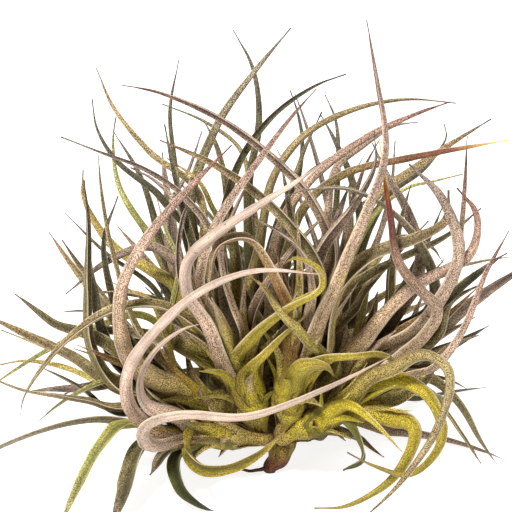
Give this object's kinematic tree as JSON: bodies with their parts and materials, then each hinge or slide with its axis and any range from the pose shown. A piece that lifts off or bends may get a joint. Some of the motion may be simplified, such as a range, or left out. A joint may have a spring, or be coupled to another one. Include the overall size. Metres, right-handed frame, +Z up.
{
  "type": "air plant",
  "caption": "Free-standing air plant: crowns of long, channelled, tapering leaves that curve up and out from one short branching stem.",
  "frame": {"origin": "middle of the small flat spot under the stem's stub, on the surface that the plant rests on", "axes": "+Z up, +X to the right in the front view, -Y towards the viewer"},
  "size_m": [0.2268, 0.1693, 0.1899],
  "materials": {
    "scurfy_leaf": "matte, covered with fine pale scales over a grey-brown skin",
    "pale_old_leaf": "matte, pale pink-cream, densely scaled",
    "yellow_green_leaf": "matte, yellow-green with sparse pale scales",
    "olive_leaf": "matte olive-brown with fine pale scales",
    "dry_stem": "matte, dry and fibrous, red-brown"
  },
  "bodies": {
    "root": {"crown_front_left": "scurfy_leaf", "crown_front_right": "scurfy_leaf", "crown_right": "scurfy_leaf", "crown_left": "scurfy_leaf", "crown_low_left": "pale_old_leaf", "crown_low_right": "yellow_green_leaf", "crown_far_right": "scurfy_leaf", "crown_back_left": "olive_leaf", "crown_back_middle": "olive_leaf", "crown_back_right": "olive_leaf", "crown_low_back": "olive_leaf", "crown_back_low_left": "olive_leaf", "crown_back_low_right": "olive_leaf", "stem": "dry_stem"}
  },
  "joints": []
}
